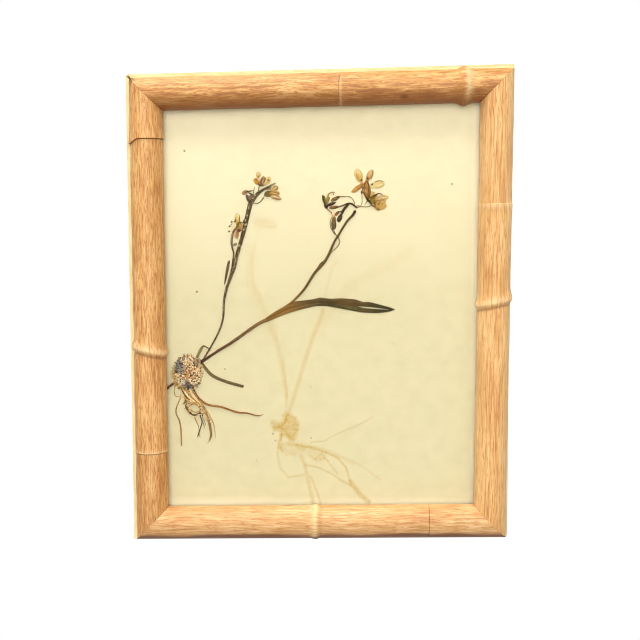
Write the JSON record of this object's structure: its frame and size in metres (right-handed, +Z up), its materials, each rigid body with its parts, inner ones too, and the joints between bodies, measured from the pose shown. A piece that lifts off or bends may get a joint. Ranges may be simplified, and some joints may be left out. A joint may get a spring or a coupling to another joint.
{
  "type": "pressed flower frame",
  "caption": "Dried spring wildflower with its roots, pressed on a stained cream sheet under glass in a honey wood frame carved like bamboo.",
  "frame": {"origin": "On the plane of the rails' back, in the middle notch of the sawtooth hanger, where a wall nail bears.", "axes": "+X to the right as the picture is seen, +Y into the wall, +Z up; the picture faces -Y."},
  "size_m": [0.2355, 0.0244, 0.2885],
  "materials": {
    "carved_wood": "clear-lacquered honey brown wood with raw edges",
    "picture_glass": "clear float glass",
    "cream_paper": "matte, mottled and stained with age",
    "grey_board": "matte greyboard",
    "bright_steel": "plain bright steel",
    "brass_plate": "thin brass plating",
    "dry_crown": "dry, earthy and granular",
    "dry_stem": "dry, matte",
    "dry_leaf": "dry, matte",
    "dry_root": "dry, fibrous",
    "dry_petal": "thin, translucent",
    "dry_bud": "dry, matte"
  },
  "bodies": {
    "root": {"rail_top": "carved_wood", "rail_bottom": "carved_wood", "rail_left": "carved_wood", "rail_right": "carved_wood", "glass_pane": "picture_glass", "mount_sheet": "cream_paper", "backing_board": "grey_board", "framers_point_1": "bright_steel", "framers_point_2": "bright_steel", "framers_point_3": "bright_steel", "framers_point_4": "bright_steel", "framers_point_5": "bright_steel", "framers_point_6": "bright_steel", "hanger_nail_1": "bright_steel", "hanger_nail_2": "bright_steel", "sawtooth_hanger": "brass_plate", "root_crown": "dry_crown", "stem_right": "dry_stem", "stem_left": "dry_stem", "branch_upper": "dry_stem", "flower_stalks": "dry_stem", "sheath_leaf": "dry_leaf", "leaf_basal": "dry_leaf", "shoot_thin": "dry_leaf", "leaf_long": "dry_leaf", "root_runner": "dry_root", "roots_fibrous": "dry_root", "root_left": "dry_root", "root_stub": "dry_root", "flower_large": "dry_petal", "flower_half_closed": "dry_petal", "flower_old": "dry_petal", "flower_left_low": "dry_petal", "flower_top_left": "dry_petal", "flower_top_right": "dry_petal", "bud_left_low": "dry_bud", "bud_top_pale": "dry_bud", "bud_top_dark": "dry_bud", "bud_stalked": "dry_bud", "bud_dark": "dry_bud", "bud_upper": "dry_bud", "bud_orange": "dry_bud", "capsule_olive": "dry_bud", "capsule_dark": "dry_bud"}
  },
  "joints": []
}
